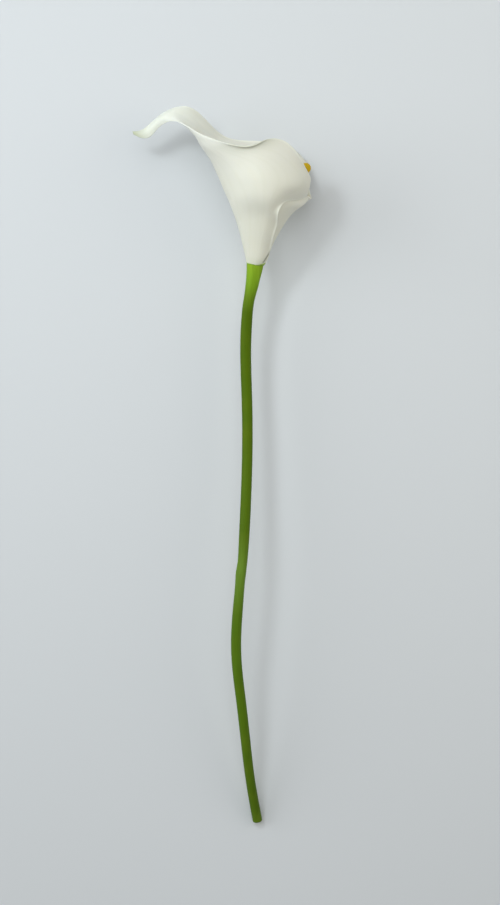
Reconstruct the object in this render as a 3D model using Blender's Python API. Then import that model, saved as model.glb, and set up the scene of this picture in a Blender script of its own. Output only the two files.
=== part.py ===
"""A single white calla lily lying on a level surface, at its real size.

Three pieces, as the flower grows: the stem with its flared green neck, the spathe (the one white sheet that is
rolled into the funnel and drawn out into the curled tip) and the yellow spadix inside it.

The stem runs along Y, with the bloom at +Y. The flower rests on the cut end of the stem and on the lower rim of
the spathe, both at z = 0. The origin is under the middle of the whole flower. Metres, +Z up; the dimensions
below are in millimetres.
"""

import math

import bmesh
import bpy
import numpy as np

MM = 0.001

# ---- driving dimensions -------------------------------------------------------------------------------------

SHEET = 0.9        # thickness of the spathe
EDGE = 0.5         # thickness of the spathe at its free margins
GAP = 0.3          # clearance between pieces that touch
BASE_Y = 99.9      # where the white spathe begins, on top of the green neck
CORE_R = 2.5       # the receptacle: the end of the stem, inside the foot of the spathe
CORE_Y = 103.4     # its top, which carries the spadix
SPADIX_R = 3.35    # the spadix at its thickest
SPADIX_TIP_R = 2.75

# The stem's centre line and radius, from the neck down to the cut end: x, y, z, radius.
# The neck flares below the spathe, a faint node lies at y = -50, and the lower third bends down to the surface.
STEM = (
    (16.15, 99.5, 23.6, 4.10),
    (15.85, 96.8, 23.3, 3.83),
    (15.4, 94.0, 23.1, 3.52),
    (14.7, 89.6, 22.9, 3.16),
    (13.7, 84.7, 22.6, 2.77),
    (12.9, 80.4, 22.3, 2.66),
    (12.2, 73.6, 21.9, 2.68),
    (11.6, 58.1, 21.2, 2.66),
    (12.2, 33.8, 21.2, 2.58),
    (12.4, 9.4, 22.6, 2.55),
    (11.7, -14.8, 24.6, 2.56),
    (10.5, -38.9, 26.8, 2.42),
    (9.8, -46.6, 27.3, 2.38),
    (9.3, -50.0, 27.5, 2.48),
    (9.0, -53.4, 27.6, 2.38),
    (8.2, -63.0, 27.6, 2.38),
    (7.0, -87.4, 25.8, 2.46),
    (9.3, -112.3, 21.2, 2.40),
    (11.5, -132.7, 15.8, 2.38),
    (13.9, -153.7, 9.2, 2.34),
    (16.4, -169.4, 3.75, 2.39),
    (17.4, -175.0, 2.32, 2.39),
)

# The spadix's centre line: it leans toward the open front of the spathe.
SPADIX = ((16.4, 104.9, 24.2), (17.8, 109.7, 24.6), (21.9, 118.9, 25.2),
          (27.7, 129.1, 25.0), (34.6, 138.4, 24.0), (40.8, 146.4, 22.5))

# The rolled tube of the spathe, from its foot to where the mouth opens. Each ring: y, left and right side (x),
# height of its centre, the angles where the near margin begins and the far margin ends (degrees; 0 is the front,
# 90 the top), and how far the near margin stands outside the ring and the far margin inside it.
RINGS = (
    (BASE_Y, 12.0, 20.5, 23.6, 2, 372, 0.45, 0.6),
    (103.5, 11.2, 22.9, 24.0, 27, 402, 0.6, 0.7),
    (107.6, 10.3, 24.4, 24.4, 36, 412, 0.7, 0.7),
    (113.6, 8.9, 27.9, 25.0, 49, 420, 0.8, 0.8),
    (119.8, 7.2, 31.9, 25.6, 57, 426, 0.8, 0.8),
    (124.8, 5.4, 36.2, 26.2, 66, 430, 0.8, 0.8),
)
RING_LEAN = 0.12   # the top of a ring lies this part of its radius further down the flower
FOOT_LEAN = 0.11   # so does the front of the first ring, where the spathe meets the slanting neck

# The mouth of the spathe, from the seam round to the tip. Each station runs across the sheet: near margin, near
# shoulder, near crown, back, far crown, front fold, far margin.
MOUTH = (
    ((30.0, 127.7, 38.4), (26.7, 127.7, 43.6), (21.2, 127.0, 45.4), (4.3, 129.0, 26.8), (21.1, 132.0, 8.7), (37.1, 127.0, 22.6), (27.3, 128.8, 39.3)),
    ((34.3, 129.5, 33.1), (31.1, 131.6, 42.2), (21.8, 131.0, 46.9), (3.2, 131.4, 27.1), (21.1, 134.6, 7.7), (39.0, 128.8, 20.7), (33.2, 131.7, 31.3)),
    ((40.5, 132.5, 24.9), (36.7, 134.9, 39.6), (22.6, 134.6, 47.7), (1.7, 134.7, 27.5), (20.9, 137.4, 6.9), (39.9, 131.0, 17.3), (39.0, 134.1, 24.2)),
    ((42.2, 136.9, 26.5), (38.7, 138.6, 38.6), (22.4, 137.6, 47.9), (0.1, 138.4, 27.9), (20.6, 140.6, 6.3), (39.6, 133.4, 14.4), (43.3, 132.0, 20.1)),
    ((42.6, 140.2, 30.0), (38.1, 141.3, 41.6), (21.6, 140.5, 48.0), (-1.6, 142.4, 28.3), (20.0, 143.8, 5.9), (38.4, 138.0, 12.9), (42.8, 136.4, 14.0)),
    ((40.4, 143.6, 35.5), (35.8, 144.8, 44.6), (19.8, 143.0, 48.0), (-3.5, 146.3, 28.8), (19.2, 147.2, 5.5), (37.4, 143.3, 13.3), (42.7, 142.7, 8.6)),
    ((37.7, 147.6, 40.4), (31.8, 147.7, 46.4), (17.2, 144.7, 47.9), (-4.8, 149.1, 29.3), (17.8, 150.6, 5.1), (36.0, 149.2, 12.0), (42.3, 150.7, 3.4)),
    ((31.9, 153.8, 44.6), (27.1, 149.7, 47.0), (13.2, 145.6, 47.4), (-6.1, 151.2, 29.7), (14.8, 153.8, 4.9), (32.2, 154.6, 8.6), (37.7, 157.4, 1.4)),
    ((23.4, 155.7, 47.6), (20.3, 151.4, 47.8), (9.2, 147.0, 46.8), (-7.3, 152.9, 30.1), (10.5, 156.4, 4.9), (25.0, 158.5, 5.0), (30.7, 161.9, 0.5)),
    ((13.7, 153.0, 50.2), (10.9, 149.5, 47.8), (3.8, 148.6, 45.2), (-8.3, 154.2, 30.4), (5.5, 158.1, 5.6), (17.2, 160.5, 2.2), (20.7, 163.5, 0.65)),
    ((3.7, 153.5, 47.8), (1.4, 151.2, 45.3), (-3.1, 151.5, 42.2), (-9.5, 155.7, 30.8), (-0.6, 159.8, 9.2), (7.9, 161.6, 2.7), (10.5, 163.9, 0.4)),
    ((-7.1, 157.9, 41.6), (-8.2, 156.1, 40.0), (-9.8, 157.0, 37.4), (-11.1, 158.4, 30.8), (-6.8, 161.7, 16.6), (-2.4, 163.6, 7.6), (1.2, 165.7, 1.5)),
)

# The drawn-out lip, down to its pointed tip. It is narrow, so three points span it: near margin, middle, far margin.
LIP = (
    ((-11.8, 160.8, 38.4), (-12.9, 162.9, 27.6), (-4.2, 168.6, 7.6)),
    ((-16.2, 164.2, 34.6), (-16.2, 167.2, 26.2), (-9.1, 172.4, 14.5)),
    ((-24.5, 168.5, 26.6), (-24.5, 171.9, 25.2), (-18.4, 176.5, 21.5)),
    ((-31.2, 166.0, 21.6), (-31.8, 168.9, 22.2), (-30.2, 172.6, 19.4)),
    ((-36.7, 161.9, 18.8), (-37.9, 164.3, 19.2), (-37.9, 166.3, 18.2)),
    ((-43.2, 164.0, 17.4), (-43.4, 164.5, 17.5), (-43.7, 165.1, 17.4)),
)

ALONG, ACROSS = 44, 40   # quads of the spathe, foot to tip and margin to margin
LIP_ROWS = 18            # rows of the narrow lip
EVENING = 1500           # passes that even out the bend under the near margin


# ---- curves and sheets --------------------------------------------------------------------------------------

def spline(t, y, x):
    """The cubic spline through y at t, read at x. y may hold points or whole rows of points."""
    t, y, x = np.asarray(t, float), np.asarray(y, float), np.asarray(x, float)
    n, h = len(t), np.diff(t)
    a, r = np.zeros((n, n)), np.zeros((n,) + y.shape[1:])
    for i in range(1, n - 1):
        a[i, i - 1:i + 2] = h[i - 1], 2 * (h[i - 1] + h[i]), h[i]
        r[i] = 6 * ((y[i + 1] - y[i]) / h[i] - (y[i] - y[i - 1]) / h[i - 1])
    a[0, :2] = a[-1, :-3:-1] = 1, -1
    m = np.linalg.solve(a, r.reshape(n, -1)).reshape(r.shape)
    i = np.clip(np.searchsorted(t, x, side="right") - 1, 0, n - 2)
    shape = (-1,) + (1,) * (y.ndim - 1)
    d, w = (x - t[i]).reshape(shape), h[i].reshape(shape)
    e = w - d
    return ((m[i] * e**3 + m[i + 1] * d**3) / (6 * w)
            + (y[i] / w - m[i] * w / 6) * e + (y[i + 1] / w - m[i + 1] * w / 6) * d)


def chord(points, power=1.0):
    """Distances along the points, from 0 to 1."""
    steps = np.linalg.norm(np.diff(np.asarray(points, float)[:, :3], axis=0), axis=1) ** power
    t = np.concatenate([[0], np.cumsum(steps)])
    return t / t[-1]


def ring(y, left, right, height, near, far, out, inward):
    """Nine points round the rolled tube, from the near margin to the far margin."""
    slant = FOOT_LEAN * max(0, 1 - (y - BASE_Y) / 14)
    middle, radius = (left + right) / 2, (right - left) / 2 - SHEET / 2
    front = 338 if far > 380 else 330
    angles = np.radians([near, near + (90 - near) * 0.52, 90, 135, 180, 225, 270, front, far])
    offset = (out, out * 0.7, out * 0.25, 0, 0, 0, 0, -inward * 0.15, -inward)
    r = radius + np.array(offset)
    return np.stack([middle + r * np.cos(angles), y - RING_LEAN * r * np.sin(angles) - slant * r * np.cos(angles),
                     height + r * np.sin(angles)], 1)


def mouth(points):
    """Nine points across a station of the mouth: an elliptic quarter fills each side of the back."""
    near, shoulder, crown, back, far_crown, front, far = np.array(points)
    quarter = np.array([1 - math.sqrt(0.5), 0.5, math.sqrt(0.5)])
    return np.array([near, shoulder, crown, back + (crown - back) * quarter, back,
                     back + (far_crown - back) * quarter, far_crown, front, far])


def lip(points):
    """Nine points across the lip, on the arc through its three."""
    near, middle, far = np.array(points)
    w = np.array([1, 0.76, 0.5, 0.25, 0, -0.25, -0.5, -0.76, -1])[:, None]
    return middle + w * (near - far) / 2 + w**2 * ((near + far) / 2 - middle)


def pull(grid):
    """How far each point of a sheet lies from the middle of its neighbours."""
    step = np.zeros_like(grid)
    step[1:-1] += (grid[2:] + grid[:-2] - 2 * grid[1:-1]) / 4
    step[:, 1:-1] += (grid[:, 2:] + grid[:, :-2] - 2 * grid[:, 1:-1]) / 4
    return step


def relaxed(grid, spread, smooth):
    """The sheet with its points spread evenly where the mouth turns, its bend made even under the near margin, then
    its ripples smoothed out. Its margins are held, and so is the narrow lip."""
    rows, columns = np.arange(grid.shape[0]), np.arange(grid.shape[1])
    inward = np.minimum(columns, columns[::-1])[None, :, None]
    turn = np.clip(np.minimum(rows - 12, 33 - rows) / 8, 0, 1)[:, None, None] * np.clip(inward / 8, 0, 1)
    for _ in range(spread):
        step, up = pull(grid), normals(grid)
        grid = grid + 0.8 * turn * (step - (step * up).sum(2, keepdims=True) * up)
    crest = np.clip(np.minimum(rows - 15, 32 - rows) / 3, 0, 1)[:, None, None] * np.clip((17 - columns) / 3, 0, 1)[None, :, None]
    crest[:, 0] = 0
    for _ in range(EVENING):
        grid = grid - 0.4 * crest * pull(pull(grid))
    weight = np.clip(np.minimum(rows / 2, rows[::-1] / LIP_ROWS), 0, 1)[:, None, None] * np.clip(inward / 2, 0, 1)
    for _ in range(smooth):
        for strength in (0.5, -0.52):
            grid = grid + strength * pull(grid) * weight
    return grid


def spathe_sheet():
    """The middle surface of the spathe: (ALONG + 1) x (ACROSS + 1) points."""
    net = np.array([ring(*r) for r in RINGS] + [mouth(m) for m in MOUTH] + [lip(p) for p in LIP])
    u = np.concatenate([[0], np.cumsum(np.linalg.norm(np.diff(net, axis=0), axis=2).mean(1) ** 0.8)])
    v = np.concatenate([[0], np.cumsum(np.linalg.norm(np.diff(net[:12], axis=1), axis=2).mean(0) ** 0.9)])
    across = spline(v / v[-1], net.transpose(1, 0, 2), np.linspace(0, 1, ACROSS + 1))
    grid = spline(u / u[-1], across.transpose(1, 0, 2), np.linspace(0, 1, ALONG + 1))
    return relaxed(grid, 60, 12)


def normals(grid):
    """Unit normals of a sheet, pointing out of the rolled tube."""
    along, across = np.gradient(grid, axis=0), np.gradient(grid, axis=1)
    n = np.cross(along, across)
    return n / np.linalg.norm(n, axis=2, keepdims=True)


# ---- objects ------------------------------------------------------------------------------------------------

def material(name, colour, roughness):
    made = bpy.data.materials.new(name)
    made.use_nodes = True
    shader = made.node_tree.nodes["Principled BSDF"]
    shader.inputs["Base Color"].default_value = (*colour, 1)
    shader.inputs["Roughness"].default_value = roughness
    shader.inputs["Metallic"].default_value = 0
    return made


def rod(name, points, radii, finish, resolution):
    """A round rod along the points, with a radius at each, its ends filled."""
    data = bpy.data.curves.new(name, "CURVE")
    data.dimensions = "3D"
    data.bevel_depth = MM
    data.bevel_resolution = resolution
    data.use_fill_caps = True
    data.twist_mode = "MINIMUM"
    path = data.splines.new("POLY")
    path.points.add(len(points) - 1)
    for knot, p, r in zip(path.points, points, radii):
        knot.co = (*(np.asarray(p) * MM), 1)
        knot.radius = r
    path.use_smooth = True
    data.materials.append(finish)
    made = bpy.data.objects.new(name, data)
    bpy.context.collection.objects.link(made)
    return made


def make_stem():
    guide = np.array(STEM)
    t = chord(guide)
    steps = np.unique(np.concatenate([np.linspace(0, t[6], 12), np.linspace(t[6], 1, 46)]))
    line = spline(t, guide, steps)
    points, radii = list(line[:, :3]), list(line[:, 3])
    # the receptacle stands on the neck, inside the foot of the spathe
    top, lean = points[0], np.array([0.12, 0.985, 0.12])
    rise = CORE_Y - top[1]
    for share, r in ((0.02, CORE_R), (0.85, CORE_R), (1.0, CORE_R * 0.9)):
        points.insert(0, top + lean * rise * share / lean[1])
        radii.insert(0, r)
    # the cut end is slightly rounded
    end, way = points[-1], points[-1] - points[-2]
    way = way / np.linalg.norm(way)
    for run, share in ((0.35, 0.93), (0.6, 0.75)):
        points.append(end + way * run)
        radii.append(line[-1, 3] * share)
    return rod("stem", points, radii, material("stem_green", (0.075, 0.13, 0.006), 0.5), 4)


def make_spadix():
    guide = np.array(SPADIX)
    steps = np.linspace(0, 1, 15)
    line = spline(chord(guide), guide, steps)
    radii = [SPADIX_R * (0.70 + 0.30 * math.sin(min(s / 0.45, 1) * math.pi / 2))
             - (SPADIX_R - SPADIX_TIP_R) * max(0, (s - 0.45) / 0.55) ** 1.3 for s in steps]
    points = list(line)
    # the tip is a round cap, and the foot is slightly rounded
    way = (line[-1] - line[-2]) / np.linalg.norm(line[-1] - line[-2])
    for k in range(1, 6):
        angle = k / 6 * math.pi / 2
        points.append(line[-1] + way * SPADIX_TIP_R * math.sin(angle))
        radii.append(SPADIX_TIP_R * math.cos(angle))
    foot = (line[0] - line[1]) / np.linalg.norm(line[0] - line[1])
    points.insert(0, line[0] + foot * 0.5)
    radii.insert(0, radii[0] * 0.8)
    return rod("spadix", points, radii, material("spadix_yellow", (0.45, 0.27, 0.02), 0.8), 4)


def make_spathe():
    sheet = spathe_sheet()
    rows, columns = sheet.shape[:2]
    # thinner toward the free margins and the tip
    k = np.arange(columns)
    side = np.clip(np.minimum(k, k[::-1]) / 5, 0, 1)[None, :]
    tip = np.clip((rows - 1 - np.arange(rows)) / 8, 0, 1)[:, None]
    half = ((EDGE + (SHEET - EDGE) * side * tip) / 2)[..., None]
    out = normals(sheet)
    shape = bmesh.new()
    outer = [[shape.verts.new(p * MM) for p in row] for row in sheet + out * half]
    inner = [[shape.verts.new(p * MM) for p in row] for row in sheet - out * half]
    # both faces are split along the same diagonal, the shorter one, so that a sharply bent piece keeps its thickness
    for i in range(rows - 1):
        for j in range(columns - 1):
            a, b, c, d = (i, j), (i, j + 1), (i + 1, j + 1), (i + 1, j)
            if np.linalg.norm(sheet[a] - sheet[c]) > np.linalg.norm(sheet[b] - sheet[d]):
                a, b, c, d = b, c, d, a
            for p, q, r in ((a, b, c), (a, c, d)):
                shape.faces.new((outer[p[0]][p[1]], outer[q[0]][q[1]], outer[r[0]][r[1]]))
                shape.faces.new((inner[p[0]][p[1]], inner[r[0]][r[1]], inner[q[0]][q[1]]))
    border = ([(0, j) for j in range(columns)] + [(i, columns - 1) for i in range(1, rows)]
              + [(rows - 1, j) for j in range(columns - 2, -1, -1)] + [(i, 0) for i in range(rows - 2, 0, -1)])
    for (a, b), (c, d) in zip(border, border[1:] + border[:1]):
        shape.faces.new((outer[a][b], inner[a][b], inner[c][d], outer[c][d]))
    bmesh.ops.recalc_face_normals(shape, faces=shape.faces)
    mesh = bpy.data.meshes.new("spathe")
    shape.to_mesh(mesh)
    shape.free()
    mesh.shade_smooth()
    mesh.set_sharp_from_angle(angle=math.radians(50))
    mesh.materials.append(material("spathe_white", (0.80, 0.79, 0.68), 0.55))
    made = bpy.data.objects.new("spathe", mesh)
    bpy.context.collection.objects.link(made)
    return made


for old in list(bpy.data.objects):
    bpy.data.objects.remove(old, do_unlink=True)

make_stem()
make_spadix()
make_spathe()
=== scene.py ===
"""The looks of the calla lily: a fine spathe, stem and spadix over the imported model, a pale floor, soft light."""

import math

import bpy
import numpy as np
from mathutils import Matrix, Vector


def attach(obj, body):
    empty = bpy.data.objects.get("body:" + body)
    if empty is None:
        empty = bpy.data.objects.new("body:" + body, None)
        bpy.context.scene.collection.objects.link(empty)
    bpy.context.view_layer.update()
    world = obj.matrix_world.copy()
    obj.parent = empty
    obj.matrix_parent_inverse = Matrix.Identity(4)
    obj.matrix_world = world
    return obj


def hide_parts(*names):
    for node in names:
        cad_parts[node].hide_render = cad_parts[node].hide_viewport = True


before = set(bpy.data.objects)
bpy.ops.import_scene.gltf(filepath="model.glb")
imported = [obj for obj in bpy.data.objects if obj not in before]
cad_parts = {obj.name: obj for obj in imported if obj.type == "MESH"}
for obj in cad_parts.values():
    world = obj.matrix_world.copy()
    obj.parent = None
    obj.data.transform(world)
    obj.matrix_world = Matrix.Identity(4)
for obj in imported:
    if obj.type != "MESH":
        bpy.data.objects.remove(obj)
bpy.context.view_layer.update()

MM = 0.001

# ---- the flower's dimensions, as in the CAD, in millimetres ---------------------------------------------------

SHEET, EDGE = 0.9, 0.5
BASE_Y = 99.9
CORE_R, CORE_Y = 2.5, 103.4
SPADIX_R, SPADIX_TIP_R = 3.35, 2.75

STEM = (
    (16.15, 99.5, 23.6, 4.10), (15.85, 96.8, 23.3, 3.83), (15.4, 94.0, 23.1, 3.52), (14.7, 89.6, 22.9, 3.16),
    (13.7, 84.7, 22.6, 2.77), (12.9, 80.4, 22.3, 2.66), (12.2, 73.6, 21.9, 2.68), (11.6, 58.1, 21.2, 2.66),
    (12.2, 33.8, 21.2, 2.58), (12.4, 9.4, 22.6, 2.55), (11.7, -14.8, 24.6, 2.56), (10.5, -38.9, 26.8, 2.42),
    (9.8, -46.6, 27.3, 2.38), (9.3, -50.0, 27.5, 2.48), (9.0, -53.4, 27.6, 2.38), (8.2, -63.0, 27.6, 2.38),
    (7.0, -87.4, 25.8, 2.46), (9.3, -112.3, 21.2, 2.40), (11.5, -132.7, 15.8, 2.38), (13.9, -153.7, 9.2, 2.34),
    (16.4, -169.4, 3.75, 2.39), (17.4, -175.0, 2.32, 2.39),
)

SPADIX = ((16.4, 104.9, 24.2), (17.8, 109.7, 24.6), (21.9, 118.9, 25.2),
          (27.7, 129.1, 25.0), (34.6, 138.4, 24.0), (40.8, 146.4, 22.5))

RINGS = (
    (BASE_Y, 12.0, 20.5, 23.6, 2, 372, 0.45, 0.6),
    (103.5, 11.2, 22.9, 24.0, 27, 402, 0.6, 0.7),
    (107.6, 10.3, 24.4, 24.4, 36, 412, 0.7, 0.7),
    (113.6, 8.9, 27.9, 25.0, 49, 420, 0.8, 0.8),
    (119.8, 7.2, 31.9, 25.6, 57, 426, 0.8, 0.8),
    (124.8, 5.4, 36.2, 26.2, 66, 430, 0.8, 0.8),
)
RING_LEAN, FOOT_LEAN = 0.12, 0.11

MOUTH = (
    ((30.0, 127.7, 38.4), (26.7, 127.7, 43.6), (21.2, 127.0, 45.4), (4.3, 129.0, 26.8), (21.1, 132.0, 8.7), (37.1, 127.0, 22.6), (27.3, 128.8, 39.3)),
    ((34.3, 129.5, 33.1), (31.1, 131.6, 42.2), (21.8, 131.0, 46.9), (3.2, 131.4, 27.1), (21.1, 134.6, 7.7), (39.0, 128.8, 20.7), (33.2, 131.7, 31.3)),
    ((40.5, 132.5, 24.9), (36.7, 134.9, 39.6), (22.6, 134.6, 47.7), (1.7, 134.7, 27.5), (20.9, 137.4, 6.9), (39.9, 131.0, 17.3), (39.0, 134.1, 24.2)),
    ((42.2, 136.9, 26.5), (38.7, 138.6, 38.6), (22.4, 137.6, 47.9), (0.1, 138.4, 27.9), (20.6, 140.6, 6.3), (39.6, 133.4, 14.4), (43.3, 132.0, 20.1)),
    ((42.6, 140.2, 30.0), (38.1, 141.3, 41.6), (21.6, 140.5, 48.0), (-1.6, 142.4, 28.3), (20.0, 143.8, 5.9), (38.4, 138.0, 12.9), (42.8, 136.4, 14.0)),
    ((40.4, 143.6, 35.5), (35.8, 144.8, 44.6), (19.8, 143.0, 48.0), (-3.5, 146.3, 28.8), (19.2, 147.2, 5.5), (37.4, 143.3, 13.3), (42.7, 142.7, 8.6)),
    ((37.7, 147.6, 40.4), (31.8, 147.7, 46.4), (17.2, 144.7, 47.9), (-4.8, 149.1, 29.3), (17.8, 150.6, 5.1), (36.0, 149.2, 12.0), (42.3, 150.7, 3.4)),
    ((31.9, 153.8, 44.6), (27.1, 149.7, 47.0), (13.2, 145.6, 47.4), (-6.1, 151.2, 29.7), (14.8, 153.8, 4.9), (32.2, 154.6, 8.6), (37.7, 157.4, 1.4)),
    ((23.4, 155.7, 47.6), (20.3, 151.4, 47.8), (9.2, 147.0, 46.8), (-7.3, 152.9, 30.1), (10.5, 156.4, 4.9), (25.0, 158.5, 5.0), (30.7, 161.9, 0.5)),
    ((13.7, 153.0, 50.2), (10.9, 149.5, 47.8), (3.8, 148.6, 45.2), (-8.3, 154.2, 30.4), (5.5, 158.1, 5.6), (17.2, 160.5, 2.2), (20.7, 163.5, 0.65)),
    ((3.7, 153.5, 47.8), (1.4, 151.2, 45.3), (-3.1, 151.5, 42.2), (-9.5, 155.7, 30.8), (-0.6, 159.8, 9.2), (7.9, 161.6, 2.7), (10.5, 163.9, 0.4)),
    ((-7.1, 157.9, 41.6), (-8.2, 156.1, 40.0), (-9.8, 157.0, 37.4), (-11.1, 158.4, 30.8), (-6.8, 161.7, 16.6), (-2.4, 163.6, 7.6), (1.2, 165.7, 1.5)),
)

LIP = (
    ((-11.8, 160.8, 38.4), (-12.9, 162.9, 27.6), (-4.2, 168.6, 7.6)),
    ((-16.2, 164.2, 34.6), (-16.2, 167.2, 26.2), (-9.1, 172.4, 14.5)),
    ((-24.5, 168.5, 26.6), (-24.5, 171.9, 25.2), (-18.4, 176.5, 21.5)),
    ((-31.2, 166.0, 21.6), (-31.8, 168.9, 22.2), (-30.2, 172.6, 19.4)),
    ((-36.7, 161.9, 18.8), (-37.9, 164.3, 19.2), (-37.9, 166.3, 18.2)),
    ((-43.2, 164.0, 17.4), (-43.4, 164.5, 17.5), (-43.7, 165.1, 17.4)),
)

ALONG, ACROSS, LIP_ROWS, EVENING = 44, 40, 18, 1500     # the working grid, as in the CAD
FINE_ALONG, FINE_ACROSS = 264, 140       # the shown grid


# ---- curves and sheets ----------------------------------------------------------------------------------------

def spline(t, y, x):
    """The cubic spline through y at t, read at x. y may hold points or whole rows of points."""
    t, y, x = np.asarray(t, float), np.asarray(y, float), np.asarray(x, float)
    n, h = len(t), np.diff(t)
    a, r = np.zeros((n, n)), np.zeros((n,) + y.shape[1:])
    for i in range(1, n - 1):
        a[i, i - 1:i + 2] = h[i - 1], 2 * (h[i - 1] + h[i]), h[i]
        r[i] = 6 * ((y[i + 1] - y[i]) / h[i] - (y[i] - y[i - 1]) / h[i - 1])
    a[0, :2] = a[-1, :-3:-1] = 1, -1
    m = np.linalg.solve(a, r.reshape(n, -1)).reshape(r.shape)
    i = np.clip(np.searchsorted(t, x, side="right") - 1, 0, n - 2)
    shape = (-1,) + (1,) * (y.ndim - 1)
    d, w = (x - t[i]).reshape(shape), h[i].reshape(shape)
    e = w - d
    return ((m[i] * e**3 + m[i + 1] * d**3) / (6 * w)
            + (y[i] / w - m[i] * w / 6) * e + (y[i + 1] / w - m[i + 1] * w / 6) * d)


def chord(points, power=1.0):
    steps = np.linalg.norm(np.diff(np.asarray(points, float)[:, :3], axis=0), axis=1) ** power
    t = np.concatenate([[0], np.cumsum(steps)])
    return t / t[-1]


def ring(y, left, right, height, near, far, out, inward):
    slant = FOOT_LEAN * max(0, 1 - (y - BASE_Y) / 14)
    middle, radius = (left + right) / 2, (right - left) / 2 - SHEET / 2
    front = 338 if far > 380 else 330
    angles = np.radians([near, near + (90 - near) * 0.52, 90, 135, 180, 225, 270, front, far])
    offset = (out, out * 0.7, out * 0.25, 0, 0, 0, 0, -inward * 0.15, -inward)
    r = radius + np.array(offset)
    return np.stack([middle + r * np.cos(angles), y - RING_LEAN * r * np.sin(angles) - slant * r * np.cos(angles),
                     height + r * np.sin(angles)], 1)


def mouth(points):
    near, shoulder, crown, back, far_crown, front, far = np.array(points)
    quarter = np.array([1 - math.sqrt(0.5), 0.5, math.sqrt(0.5)])
    return np.array([near, shoulder, crown, back + (crown - back) * quarter, back,
                     back + (far_crown - back) * quarter, far_crown, front, far])


def lip(points):
    near, middle, far = np.array(points)
    w = np.array([1, 0.76, 0.5, 0.25, 0, -0.25, -0.5, -0.76, -1])[:, None]
    return middle + w * (near - far) / 2 + w**2 * ((near + far) / 2 - middle)


def pull(grid):
    step = np.zeros_like(grid)
    step[1:-1] += (grid[2:] + grid[:-2] - 2 * grid[1:-1]) / 4
    step[:, 1:-1] += (grid[:, 2:] + grid[:, :-2] - 2 * grid[:, 1:-1]) / 4
    return step


def normals(grid):
    along, across = np.gradient(grid, axis=0), np.gradient(grid, axis=1)
    n = np.cross(along, across)
    return n / np.maximum(np.linalg.norm(n, axis=2, keepdims=True), 1e-9)


def relaxed(grid, spread, smooth):
    rows, columns = np.arange(grid.shape[0]), np.arange(grid.shape[1])
    inward = np.minimum(columns, columns[::-1])[None, :, None]
    turn = np.clip(np.minimum(rows - 12, 33 - rows) / 8, 0, 1)[:, None, None] * np.clip(inward / 8, 0, 1)
    for _ in range(spread):
        step, up = pull(grid), normals(grid)
        grid = grid + 0.8 * turn * (step - (step * up).sum(2, keepdims=True) * up)
    crest = np.clip(np.minimum(rows - 15, 32 - rows) / 3, 0, 1)[:, None, None] * np.clip((17 - columns) / 3, 0, 1)[None, :, None]
    crest[:, 0] = 0
    for _ in range(EVENING):
        grid = grid - 0.4 * crest * pull(pull(grid))
    weight = np.clip(np.minimum(rows / 2, rows[::-1] / LIP_ROWS), 0, 1)[:, None, None] * np.clip(inward / 2, 0, 1)
    for _ in range(smooth):
        for strength in (0.5, -0.52):
            grid = grid + strength * pull(grid) * weight
    return grid


def spathe_sheet():
    net = np.array([ring(*r) for r in RINGS] + [mouth(m) for m in MOUTH] + [lip(p) for p in LIP])
    u = np.concatenate([[0], np.cumsum(np.linalg.norm(np.diff(net, axis=0), axis=2).mean(1) ** 0.8)])
    v = np.concatenate([[0], np.cumsum(np.linalg.norm(np.diff(net[:12], axis=1), axis=2).mean(0) ** 0.9)])
    across = spline(v / v[-1], net.transpose(1, 0, 2), np.linspace(0, 1, ACROSS + 1))
    grid = spline(u / u[-1], across.transpose(1, 0, 2), np.linspace(0, 1, ALONG + 1))
    return relaxed(grid, 60, 12)


def fine_sheet():
    """The working sheet, read closely enough to show no facets, and smoothed once more."""
    grid = spathe_sheet()
    grid = spline(np.arange(ALONG + 1), grid, np.linspace(0, ALONG, FINE_ALONG + 1))
    grid = spline(np.arange(ACROSS + 1), grid.transpose(1, 0, 2), np.linspace(0, ACROSS, FINE_ACROSS + 1)).transpose(1, 0, 2)
    rows, columns = np.arange(FINE_ALONG + 1), np.arange(FINE_ACROSS + 1)
    weight = (np.clip(np.minimum(rows / 8, rows[::-1] / 60), 0, 1)[:, None, None]
              * np.clip(np.minimum(columns, columns[::-1]) / 8, 0, 1)[None, :, None])
    for _ in range(60):
        for strength in (0.5, -0.505):
            grid = grid + strength * pull(grid) * weight
    return grid


# ---- meshes ---------------------------------------------------------------------------------------------------

def make_mesh(name, points, faces, uv=None, values=None):
    """A smooth mesh object in the row frame, from points in mm, quads or triangles, a UV for each point and named
    numbers for each point."""
    mesh = bpy.data.meshes.new(name)
    mesh.from_pydata((np.asarray(points) * MM).tolist(), [], faces)
    mesh.validate()
    for key, numbers in (values or {}).items():
        layer = mesh.attributes.new(key, "FLOAT", "POINT")
        layer.data.foreach_set("value", np.asarray(numbers, np.float32).ravel())
    if uv is not None:
        layer = mesh.uv_layers.new(name="UVMap")
        index = np.empty(len(mesh.loops), np.int32)
        mesh.loops.foreach_get("vertex_index", index)
        layer.data.foreach_set("uv", np.asarray(uv, np.float32)[index].ravel())
    mesh.shade_smooth()
    made = bpy.data.objects.new(name, mesh)
    bpy.context.scene.collection.objects.link(made)
    return made


def smooth_noise(shape, cells, seed):
    """Soft random hills between -1 and 1 over a grid, from a coarse seeded grid read by splines."""
    rng = np.random.default_rng(seed)
    coarse = rng.uniform(-1, 1, (cells[0] + 1, cells[1] + 1))
    rows = spline(np.arange(cells[0] + 1), coarse, np.linspace(0, cells[0], shape[0]))
    return spline(np.arange(cells[1] + 1), rows.T, np.linspace(0, cells[1], shape[1])).T


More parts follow.
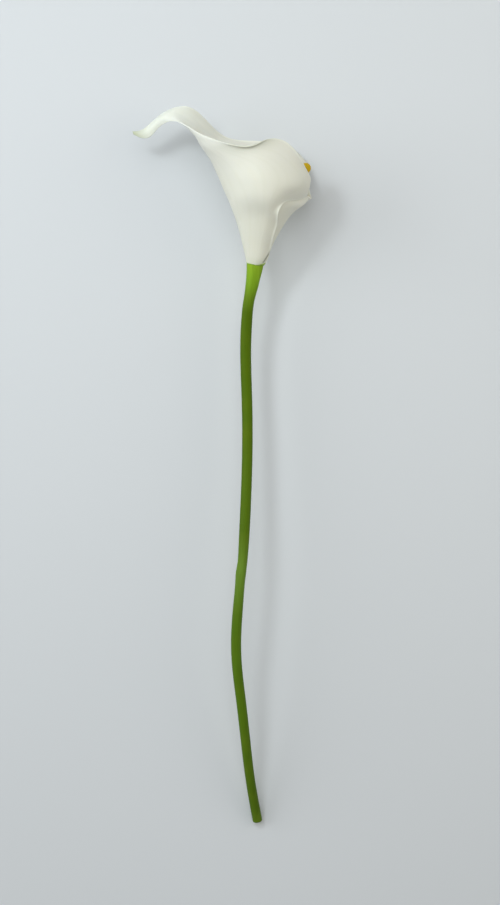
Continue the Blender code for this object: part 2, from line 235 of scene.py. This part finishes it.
def make_spathe():
    sheet = fine_sheet()
    rows, columns = sheet.shape[:2]
    # the foot is drawn a little over the neck, furthest on top, and ends in a slightly uneven line
    foot = sheet[0] - sheet[6]
    foot /= np.linalg.norm(foot, axis=1, keepdims=True)
    top = np.clip((sheet[0, :, 2] - sheet[0, :, 2].mean()) / 4, 0, 1)
    uneven = smooth_noise((6, columns), (3, 26), 19)[0]
    reach = (0.38 + 0.35 * top ** 2 + 0.10 * uneven)[:, None]
    for i in range(6):
        sheet[i] += foot * reach * (1 - i / 6)
    out = normals(sheet)
    u = np.linspace(0, 1, rows)[:, None] + np.zeros((1, columns))
    v = np.linspace(0, 1, columns)[None, :] + np.zeros((rows, 1))
    # distance from the nearer margin, measured across each row, in mm
    steps = np.linalg.norm(np.diff(sheet, axis=1), axis=2)
    from_near = np.concatenate([np.zeros((rows, 1)), np.cumsum(steps, 1)], 1)
    rim = np.minimum(from_near, from_near[:, -1:] - from_near)
    # faint veins run from the foot to the margins and the tip; they fade at the rim
    drift = smooth_noise((rows, columns), (6, 10), 4)
    veins = (0.55 * np.sin(2 * math.pi * (v * 21 + 0.35 * drift)) + 0.45 * np.sin(2 * math.pi * (v * 34 + 0.5 * drift) + 1.3))
    width = from_near[:, -1:]
    veins *= np.clip(rim / 5, 0, 1) * np.clip(width / 45, 0, 1) * np.clip(u / 0.05, 0, 1)
    waves = smooth_noise((rows, columns), (9, 14), 11) * np.clip(rim / 8, 0, 1) * np.clip(width / 60, 0, 1)
    # the near margin turns up a little along the seam, and more where it crosses the top of the mouth
    edge_x, edge_y = sheet[:, :1, 0], sheet[:, :1, 1]
    crest = np.exp(-((edge_x - 13.5) / 7.5) ** 2) * np.clip((edge_y - 146) / 4, 0, 1)
    seam = np.clip((edge_y - 102) / 8, 0, 1) * np.clip((137.5 - edge_y) / 4, 0, 1)
    turned_up = 1.2 * crest * np.exp(-from_near / 3.5) + 0.30 * seam * np.exp(-from_near / 0.6)
    sheet = sheet + out * (0.022 * veins + 0.10 * waves + turned_up)[..., None]
    # thickness: full in the middle, thinner toward the margins and the tip
    share = 1 - np.exp(-(rim / 2.6) ** 2)
    tip = np.clip((1 - u) / 0.18, 0, 1)
    bead = 0.10 * np.exp(-(rim / 0.5) ** 2)
    half = (EDGE + (SHEET - EDGE) * share * tip + bead)[..., None] / 2
    sideways = np.gradient(sheet, axis=1)
    sideways /= np.maximum(np.linalg.norm(sideways, axis=2, keepdims=True), 1e-9)
    outer, inner = sheet + out * half, sheet - out * half

    def rim_points(column, sign):
        """A half-round rim: three points past the margin, from the outer face to the inner face."""
        made = []
        for angle in (45, 90, 135):
            a = math.radians(angle)
            made.append(sheet[:, column] + half[:, column] * (math.cos(a) * out[:, column]
                        + 0.9 * sign * math.sin(a) * sideways[:, column]))
        return made

    loop = [outer[:, j] for j in range(columns)] + rim_points(-1, 1) + [inner[:, j] for j in range(columns - 1, -1, -1)] + rim_points(0, -1)[::-1]
    loop = np.stack(loop, 1)
    across = np.concatenate([v[0], [1, 1, 1], v[0][::-1], [0, 0, 0]])
    inside = np.concatenate([np.zeros(columns), [0.25, 0.5, 0.75], np.ones(columns), [0.75, 0.5, 0.25]])
    # the green of the neck runs a little way up the foot, least along the middle of the top
    up_foot = np.concatenate([[0], np.cumsum(np.linalg.norm(np.diff(sheet.mean(1), axis=0), axis=1))])[:, None]
    across_foot = (sheet[:1, :, 0] - sheet[0, :, 0].mean()) / np.ptp(sheet[0, :, 0]) * 2
    green_to = 0.15 + 0.75 * np.clip(-across_foot, 0, 1) ** 2 + 1.15 * np.clip(across_foot, 0, 1) ** 1.5
    green = np.clip((green_to - up_foot) / 0.5 + 0.5, 0, 1)
    # and the groove where the margins begin gets a painted shade: a dark olive line
    line_x = np.interp(sheet[:, :, 1], (100.1, 101.8, 103.8, 105.2, 106.7), (19.9, 21.1, 22.4, 23.0, 23.4))
    painted_groove_shade = np.zeros((rows, columns))
    for i in np.nonzero(sheet[:, :, 1].min(1) < 108)[0]:
        x, z, line = sheet[i, :, 0], sheet[i, :, 2], line_x[i]
        over = np.abs(x - line) < 0.5
        if not over.any():
            over = x > x.max() - 0.2
        painted_groove_shade[i] = np.exp(-((x - line) / 0.38) ** 2 - ((z - z[over].max()) / 0.7) ** 2)
    painted_groove_shade = painted_groove_shade * np.clip((sheet[:, :, 1] - 99.8) / 0.5, 0, 1) * np.clip((106.2 - sheet[:, :, 1]) / 2.5, 0, 1)
    # painted shade for the hollow below the turned-up margin: how deep in it a point of the outer face lies, with a
    # narrow band on the inner face along the near rim that dulls its highlight
    painted_hollow_shade = np.exp(-((edge_x - 15) / 12) ** 4) * np.clip((edge_y - 146) / 4, 0, 1) * np.exp(-(from_near / 11.0) ** 1.2)
    painted_rim_shade = painted_hollow_shade * np.exp(-from_near / 1.0)
    painted_hollow_shade = np.concatenate([painted_hollow_shade, np.zeros((rows, 3)), painted_rim_shade[:, ::-1], painted_rim_shade[:, :1] + np.zeros((1, 3))], 1)
    near_rim = np.concatenate([rim, np.zeros((rows, 3)), rim[:, ::-1], np.zeros((rows, 3))], 1)
    green = np.concatenate([green, green[:, -1:] + np.zeros((1, 3)), green[:, ::-1], green[:, :1] + np.zeros((1, 3))], 1)
    painted_groove_shade = np.concatenate([painted_groove_shade, np.zeros((rows, 3)), np.zeros((rows, columns)), painted_groove_shade[:, :1] + np.zeros((1, 3))], 1)
    vein = np.concatenate([veins, np.zeros((rows, 3)), veins[:, ::-1], np.zeros((rows, 3))], 1)
    n = loop.shape[1]
    # the foot and the tip are closed by a strip across the wall
    points = loop.reshape(-1, 3)
    faces = []
    for i in range(rows - 1):
        a, b = i * n, (i + 1) * n
        faces += [(a + j, b + j, b + (j + 1) % n, a + (j + 1) % n) for j in range(n)]
    for i, flip in ((0, False), (rows - 1, True)):
        a = i * n
        strip = []
        for j in range(columns - 1):
            o0, o1 = a + j, a + j + 1
            i0, i1 = a + 2 * columns + 2 - j, a + 2 * columns + 1 - j
            strip.append((o0, o1, i1, i0))
        e = columns
        strip.append((a + e - 1, a + e, a + e + 2, a + e + 3))
        strip.append((a + e, a + e + 1, a + e + 2))
        s = 2 * columns + 3
        strip.append((a + s - 1, a + s, a + s + 2, a))
        strip.append((a + s, a + s + 1, a + s + 2))
        faces += [tuple(reversed(f)) if flip else f for f in strip]
    uv = np.stack([np.repeat(np.linspace(0, 1, rows), n), np.tile(across, rows)], 1)
    uv[:, 1] = uv[:, 1] * 0.5 + np.tile(inside, rows) * 0.5
    made = make_mesh("spathe_petal", points, faces, uv, {
        "along": np.repeat(np.linspace(0, 1, rows), n), "inside": np.tile(inside, rows),
        "rim": near_rim.ravel(), "vein": vein.ravel(), "painted_hollow_shade": painted_hollow_shade.ravel(),
        "green": green.ravel(), "painted_groove_shade": painted_groove_shade.ravel()})
    return made


def tube(name, line, radii, around, shape=None, values=None, pole=True):
    """A closed tube along a line, with a radius at each point. shape(angle, k) may swell a ring's radius."""
    line, radii = np.asarray(line, float), np.asarray(radii, float)
    tangent = np.gradient(line, axis=0)
    tangent /= np.linalg.norm(tangent, axis=1, keepdims=True)
    side = np.cross(tangent[0], (0, 0, 1.0))
    side /= np.linalg.norm(side)
    angles = np.arange(around) / around * 2 * math.pi
    rings = []
    for k, (p, t) in enumerate(zip(line, tangent)):
        side = side - t * (side @ t)
        side /= np.linalg.norm(side)
        up = np.cross(side, t)
        swell = radii[k] * np.ones(around) if shape is None else shape(angles, k, radii[k])
        rings.append(p + swell[:, None] * (np.cos(angles)[:, None] * side + np.sin(angles)[:, None] * up))
    points = np.concatenate(rings + [line[:1], line[-1:]])
    count = len(line)
    faces = [(i * around + j, i * around + (j + 1) % around, (i + 1) * around + (j + 1) % around, (i + 1) * around + j)
             for i in range(count - 1) for j in range(around)]
    first, last = count * around, count * around + 1
    faces += [(first, (j + 1) % around, j) for j in range(around)]
    faces += [(last, (count - 1) * around + j, (count - 1) * around + (j + 1) % around) for j in range(around)]
    return points, faces, np.concatenate([np.repeat(np.arange(count), around), [0, count - 1]]), np.concatenate([np.tile(angles, count), [0, 0]])


def turned_out(points, faces):
    """The faces, reversed if the closed shape they bound faces inward."""
    p = np.asarray(points)
    volume = 0.0
    for f in faces:
        a = p[f[0]]
        for b, c in zip(f[1:-1], f[2:]):
            volume += float(np.dot(a, np.cross(p[b], p[c])))
    return faces if volume > 0 else [tuple(reversed(f)) for f in faces]


def make_stem():
    guide = np.array(STEM)
    t = chord(guide)
    steps = np.unique(np.concatenate([np.linspace(0, t[6], 60), np.linspace(t[6], 1, 330)]))
    line = spline(t, guide, steps)
    centre, radii = list(line[:, :3]), list(line[:, 3])
    top, lean = centre[0], np.array([0.12, 0.985, 0.12])
    rise = CORE_Y - top[1]
    tangent = (centre[0] - centre[1]) / np.linalg.norm(centre[0] - centre[1])
    head_points, head_radii = [], []
    # the rounded shoulder of the neck, then the receptacle inside the foot of the spathe
    for k in range(1, 6):
        a = k / 5 * math.pi / 2
        head_points.append(top + tangent * 0.22 * math.sin(a))
        head_radii.append(radii[0] - 0.22 * (1 - math.cos(a)))
    for share, r in ((0.075, radii[0] * 0.8), (0.08, CORE_R), (0.5, CORE_R), (0.85, CORE_R), (0.95, CORE_R * 0.93), (1.0, CORE_R * 0.8)):
        head_points.append(top + lean * rise * share / lean[1])
        head_radii.append(r)
    centre = head_points[::-1] + centre
    radii = head_radii[::-1] + radii
    # the cut end: a small rounded shoulder, then a slightly hollow face
    end, way = centre[-1], centre[-1] - centre[-2]
    way = way / np.linalg.norm(way)
    last = line[-1, 3]
    cut = 0
    for run, share in ((0.2, 0.985), (0.36, 0.955), (0.48, 0.91), (0.55, 0.85), (0.55, 0.78), (0.47, 0.6), (0.42, 0.35), (0.40, 0.12)):
        centre.append(end + way * run)
        radii.append(last * share)
        cut += 1
    centre, radii = np.array(centre), np.array(radii)
    count, around = len(centre), 56
    length = np.concatenate([[0], np.cumsum(np.linalg.norm(np.diff(centre, axis=0), axis=1))])
    rng = np.random.default_rng(7)
    phases = rng.uniform(0, 2 * math.pi, 6)

    def shape(angles, k, r):
        body = 1.0 if len(head_points) <= k < count - cut else 0.0
        ribs = (0.020 * np.cos(11 * angles + phases[0] + 0.004 * length[k]) + 0.012 * np.cos(17 * angles + phases[1])
                + 0.018 * np.cos(2 * angles + phases[2] + length[k] / 60))
        return r + body * ribs
    points, faces, ring_index, angle = tube("stem", centre, radii, around, shape)
    faces = turned_out(points, faces)
    is_cut = (ring_index >= count - 5).astype(float)
    made = make_mesh("stem_stalk", points, faces,
                     np.stack([angle / (2 * math.pi), length[ring_index] / length[-1]], 1),
                     {"height": centre[ring_index, 1], "cut": is_cut, "angle": angle})
    return made


def make_spadix():
    guide = np.array(SPADIX)
    steps = np.linspace(0, 1, 230)
    line = spline(chord(guide), guide, steps)
    tip_r = SPADIX_TIP_R - 0.22
    radii = [SPADIX_R * (0.70 + 0.30 * math.sin(min(s / 0.45, 1) * math.pi / 2))
             - (SPADIX_R - tip_r) * max(0, (s - 0.45) / 0.55) ** 1.3 for s in steps]
    centre = list(line)
    way = (line[-1] - line[-2]) / np.linalg.norm(line[-1] - line[-2])
    for k in range(1, 19):
        a = k / 18.5 * math.pi / 2
        centre.append(line[-1] + way * tip_r * math.sin(a))
        radii.append(tip_r * math.cos(a))
    foot = (line[0] - line[1]) / np.linalg.norm(line[0] - line[1])
    centre.insert(0, line[0] + foot * 0.5)
    radii.insert(0, radii[0] * 0.8)
    centre, radii = np.array(centre), np.array(radii)
    length = np.concatenate([[0], np.cumsum(np.linalg.norm(np.diff(centre, axis=0), axis=1))])
    around = 150
    pitch = 0.95
    count_round = 20

    def bumps(angles, k):
        """Florets packed in a spiral: a round-topped bump at each crossing of two families of spirals."""
        s = length[k] / pitch
        p = angles * count_round / (2 * math.pi)
        a, b = p + s * 0.5, p - s * 0.5
        return (np.abs(np.cos(math.pi * a) * np.cos(math.pi * b))) ** 0.7

    def shape(angles, k, r):
        return r - 0.34 * (1 - bumps(angles, k)) * min(1, r / 1.2) + 0.02
    points, faces, ring_index, angle = tube("spadix", centre, radii, around, shape)
    faces = turned_out(points, faces)
    height = np.array([float(bumps(np.array([a]), k)[0]) for k, a in zip(ring_index, angle)])
    made = make_mesh("spadix_florets", points, faces,
                     np.stack([angle / (2 * math.pi), length[ring_index] / length[-1]], 1),
                     {"height": height, "along": length[ring_index] / length[-1]})
    return made


# ---- materials ------------------------------------------------------------------------------------------------

class Nodes:
    """A material's node tree, built with short calls."""

    def __init__(self, name):
        self.material = bpy.data.materials.new(name)
        self.material.use_nodes = True
        self.tree = self.material.node_tree
        self.shader = self.tree.nodes["Principled BSDF"]

    def add(self, kind, **settings):
        node = self.tree.nodes.new(kind)
        for key, value in settings.items():
            setattr(node, key, value)
        return node

    def link(self, a, b):
        self.tree.links.new(a, b)

    def attribute(self, name):
        return self.add("ShaderNodeAttribute", attribute_name=name).outputs["Fac"]

    def where(self):
        return self.add("ShaderNodeTexCoord").outputs["Object"]

    def math(self, operation, a, b=None, c=None, clamp=False):
        node = self.add("ShaderNodeMath", operation=operation, use_clamp=clamp)
        for socket, value in zip(node.inputs, (a, b, c)):
            if value is None:
                continue
            if isinstance(value, (int, float)):
                socket.default_value = value
            else:
                self.link(value, socket)
        return node.outputs[0]

    def ramp(self, value, stops):
        """A number to a colour, through (place, colour) stops."""
        node = self.add("ShaderNodeValToRGB")
        element = node.color_ramp.elements
        element.remove(element[1])
        element[0].position, element[0].color = stops[0][0], (*stops[0][1], 1)
        for place, colour in stops[1:]:
            element.new(place).color = (*colour, 1)
        self.link(value, node.inputs["Fac"])
        return node.outputs["Color"]

    def spread(self, value, low, high, to_low=0.0, to_high=1.0):
        node = self.add("ShaderNodeMapRange")
        for key, number in zip(("From Min", "From Max", "To Min", "To Max"), (low, high, to_low, to_high)):
            node.inputs[key].default_value = number
        self.link(value, node.inputs["Value"])
        return node.outputs[0]

    def noise(self, scale, detail=2.0, vector=None, stretch=None):
        node = self.add("ShaderNodeTexNoise")
        node.inputs["Scale"].default_value = scale
        node.inputs["Detail"].default_value = detail
        vector = vector or self.where()
        if stretch:
            mapping = self.add("ShaderNodeMapping")
            mapping.inputs["Scale"].default_value = stretch
            self.link(vector, mapping.inputs["Vector"])
            vector = mapping.outputs["Vector"]
        self.link(vector, node.inputs["Vector"])
        return node.outputs["Fac"]

    def mix(self, share, a, b, blend="MIX"):
        node = self.add("ShaderNodeMix", data_type="RGBA", blend_type=blend)
        for socket, value in ((node.inputs["Factor"], share), (node.inputs[6], a), (node.inputs[7], b)):
            if isinstance(value, (int, float)):
                socket.default_value = value
            elif isinstance(value, tuple):
                socket.default_value = (*value, 1)
            else:
                self.link(value, socket)
        return node.outputs[2]

    def bump(self, height, distance, strength=1.0, normal=None):
        node = self.add("ShaderNodeBump")
        node.inputs["Distance"].default_value = distance
        node.inputs["Strength"].default_value = strength
        self.link(height, node.inputs["Height"])
        if normal is not None:
            self.link(normal, node.inputs["Normal"])
        return node.outputs["Normal"]


def linear(*rgb):
    """sRGB 0-255 to linear."""
    return tuple((c / 255 / 12.92) if c <= 10 else ((c / 255 + 0.055) / 1.055) ** 2.4 for c in rgb)


def spathe_material():
    m = Nodes("petal_white")
    s = m.shader
    along, inside, rim, vein, painted_hollow_shade, green, painted_groove_shade = (
        m.attribute(k) for k in ("along", "inside", "rim", "vein", "painted_hollow_shade", "green", "painted_groove_shade"))
    # warm white, a little greener toward the tip and at the very foot
    base = m.ramp(along, ((0.0, linear(216, 219, 200)), (0.03, linear(222, 222, 208)), (0.3, linear(227, 227, 215)),
                          (0.6, linear(226, 226, 217)), (0.8, linear(232, 235, 227)), (0.94, linear(230, 235, 224)), (0.975, linear(204, 209, 192)),
                          (1.0, linear(180, 188, 158))))
    # deep in the throat the inside is yellow-green
    throat = m.math("MULTIPLY", m.spread(along, 0.10, 0.32, 1.0, 0.0), m.spread(inside, 0.6, 1.0))
    base = m.mix(m.math("MULTIPLY", throat, 0.55), base, linear(206, 210, 146))
    # soft clouding, veins that are a touch darker, and a painted highlight: a lighter white along the margins, fading
    # toward the tip
    cloud = m.noise(55, 2.0)
    base = m.mix(m.spread(cloud, 0.35, 0.7, 0.0, 0.12), base, linear(216, 214, 190))
    base = m.mix(m.spread(vein, -0.2, 0.9, 0.0, 0.07), base, linear(206, 210, 182))
    # painted highlight: the margins are lightened, less toward the tip
    painted_rim_highlight = m.math("MULTIPLY", m.spread(rim, 0.25, 1.0, 0.5, 0.0), m.spread(along, 0.88, 0.97, 1.0, 0.1))
    base = m.mix(painted_rim_highlight, base, linear(242, 244, 233))
    # painted shade: the hollow below the turned-up margin and the near rim are darkened to a grey-green
    base = m.mix(m.math("MULTIPLY", painted_hollow_shade, 0.62), base, linear(192, 195, 177))
    # painted shade: a dark olive line in the groove where the margins begin
    base = m.mix(m.math("MULTIPLY", painted_groove_shade, 0.95), base, linear(64, 71, 34))
    base = m.mix(green, base, m.ramp(green, ((0.0, linear(214, 222, 150)), (0.55, linear(178, 204, 92)), (1.0, linear(140, 176, 44)))))
    m.link(base, s.inputs["Base Color"])
    grain = m.noise(2600, 2.0)
    fine = m.noise(900, 3.0)
    normal = m.bump(grain, 0.00004, 0.35)
    normal = m.bump(fine, 0.00008, 0.30, normal)
    m.link(normal, s.inputs["Normal"])
    m.link(m.spread(cloud, 0.3, 0.7, 0.50, 0.60), s.inputs["Roughness"])
    s.inputs["Subsurface Weight"].default_value = 0.15
    s.inputs["Subsurface Radius"].default_value = (1.0, 0.9, 0.7)
    s.inputs["Subsurface Scale"].default_value = 0.0010
    s.inputs["Specular IOR Level"].default_value = 0.25
    return m.material


def stem_material():
    m = Nodes("stalk_green")
    s = m.shader
    height, cut = m.attribute("height"), m.attribute("cut")
    place = m.spread(height, -176.0, 101.0)

    def at(y):
        return (y + 176.0) / 277.0
    base = m.ramp(place, (
        (at(-176), linear(92, 118, 26)), (at(-168), linear(80, 106, 18)), (at(-120), linear(82, 112, 18)),
        (at(-70), linear(84, 116, 22)), (at(-53), linear(104, 136, 44)), (at(-47), linear(104, 136, 44)),
        (at(-30), linear(82, 110, 10)), (at(40), linear(79, 106, 1)), (at(76), linear(79, 106, 1)),
        (at(84), linear(106, 138, 26)), (at(89), linear(122, 162, 32)), (at(96), linear(136, 174, 38)),
        (at(99.2), linear(142, 178, 44)), (at(100.0), linear(104, 134, 34))))
    streak = m.noise(420, 2.0, stretch=(1.0, 0.05, 1.0))
    base = m.mix(m.spread(streak, 0.35, 0.7, 0.0, 0.30), base, linear(62, 88, 4))
    blotch = m.noise(70, 3.0)
    base = m.mix(m.spread(blotch, 0.45, 0.75, 0.0, 0.18), base, linear(116, 128, 30))
    pith = m.noise(1500, 2.0)
    base = m.mix(cut, base, m.ramp(pith, ((0.3, linear(168, 182, 96)), (0.7, linear(206, 212, 142)))))
    m.link(base, s.inputs["Base Color"])
    normal = m.bump(streak, 0.00010, 0.5)
    normal = m.bump(m.noise(2400, 2.0), 0.00003, 0.4, normal)
    m.link(normal, s.inputs["Normal"])
    m.link(m.spread(blotch, 0.3, 0.7, 0.42, 0.54), s.inputs["Roughness"])
    s.inputs["Specular IOR Level"].default_value = 0.08
    return m.material


def spadix_material():
    m = Nodes("floret_yellow")
    s = m.shader
    height, along = m.attribute("height"), m.attribute("along")
    # painted shade: by bump height, the valleys between the florets are darkest and the floret tops lightest
    base = m.ramp(height, ((0.0, linear(150, 116, 8)), (0.45, linear(208, 174, 22)), (1.0, linear(234, 206, 52))))
    patch = m.noise(420, 3.0)
    base = m.mix(m.spread(patch, 0.4, 0.7, 0.0, 0.35), base, linear(206, 156, 16))
    base = m.mix(m.spread(along, 0.0, 0.3, 0.35, 0.0), base, linear(206, 200, 96))
    m.link(base, s.inputs["Base Color"])
    m.link(m.bump(m.noise(3500, 2.0), 0.00005, 0.6), s.inputs["Normal"])
    m.link(m.spread(patch, 0.3, 0.7, 0.72, 0.85), s.inputs["Roughness"])
    s.inputs["Specular IOR Level"].default_value = 0.2
    return m.material


# ---- the object -----------------------------------------------------------------------------------------------

for piece, node, slot, material in (
        (make_spathe(), "spathe", "spathe", spathe_material()),
        (make_stem(), "stem", "stem", stem_material()),
        (make_spadix(), "spadix", "spadix", spadix_material())):
    piece.data.materials.append(material)
    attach(piece, "root")
    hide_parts(node)


# ---- floor, light and camera ----------------------------------------------------------------------------------

def plane(name, size, z):
    mesh = bpy.data.meshes.new(name)
    h = size / 2
    mesh.from_pydata([(-h, -h, z), (h, -h, z), (h, h, z), (-h, h, z)], [], [(0, 1, 2, 3)])
    made = bpy.data.objects.new(name, mesh)
    bpy.context.scene.collection.objects.link(made)
    return made


floor = plane("floor", 6.0, 0.0)
floor_finish = bpy.data.materials.new("floor_pale")
floor_finish.use_nodes = True
floor_shader = floor_finish.node_tree.nodes["Principled BSDF"]
floor_shader.inputs["Base Color"].default_value = (0.662, 0.690, 0.717, 1)
floor_shader.inputs["Roughness"].default_value = 0.9
floor_shader.inputs["Specular IOR Level"].default_value = 0.1
floor.data.materials.append(floor_finish)


def area(name, place, target, size, power, colour):
    light = bpy.data.lights.new(name, "AREA")
    light.shape, light.size, light.energy, light.color = "DISK", size, power, colour
    made = bpy.data.objects.new(name, light)
    made.location = place
    made.rotation_mode = "QUATERNION"
    made.rotation_quaternion = (Vector(target) - Vector(place)).to_track_quat("-Z", "Y")
    bpy.context.scene.collection.objects.link(made)
    return made


key_way = Vector((-1.0, 0.85, 2.15)).normalized()
area("key", Vector((0.0, 0.10, 0.0)) + key_way * 0.60, (0, 0.10, 0), 0.115, 0.66, (0.92, 0.985, 1.0))
area("overhead", (-0.17, 0.40, 0.86), (0, 0.12, 0), 0.90, 3.3, (0.94, 0.985, 1.0))
area("side", (-1.2, 0.25, 0.60), (0, 0.10, 0.02), 0.9, 5.6, (0.94, 0.985, 1.0))
area("fill", (0.55, 0.20, 0.40), (0.03, 0.13, 0.02), 0.5, 0.80, (1.0, 0.96, 0.84))

world = bpy.data.worlds.new("soft_room")
bpy.context.scene.world = world
world.use_nodes = True
world.node_tree.nodes["Background"].inputs["Color"].default_value = (1.0, 0.985, 0.95, 1)
world.node_tree.nodes["Background"].inputs["Strength"].default_value = 0.38

bpy.context.scene.view_settings.view_transform = "Standard"
bpy.context.scene.view_settings.look = "None"

camera_data = bpy.data.cameras.new("camera")
camera_data.sensor_fit = "VERTICAL"
camera_data.sensor_height = 24.0
camera_data.sensor_width = 24.0 * 500 / 905
camera_data.lens = 24.0 * 800.0 / 452.5
camera_data.clip_start, camera_data.clip_end = 0.01, 20.0
camera = bpy.data.objects.new("camera", camera_data)
camera.location = (0.0137, 0.0082, 0.800)
camera.rotation_euler = (0, 0, 0)
bpy.context.scene.collection.objects.link(camera)
bpy.context.scene.camera = camera
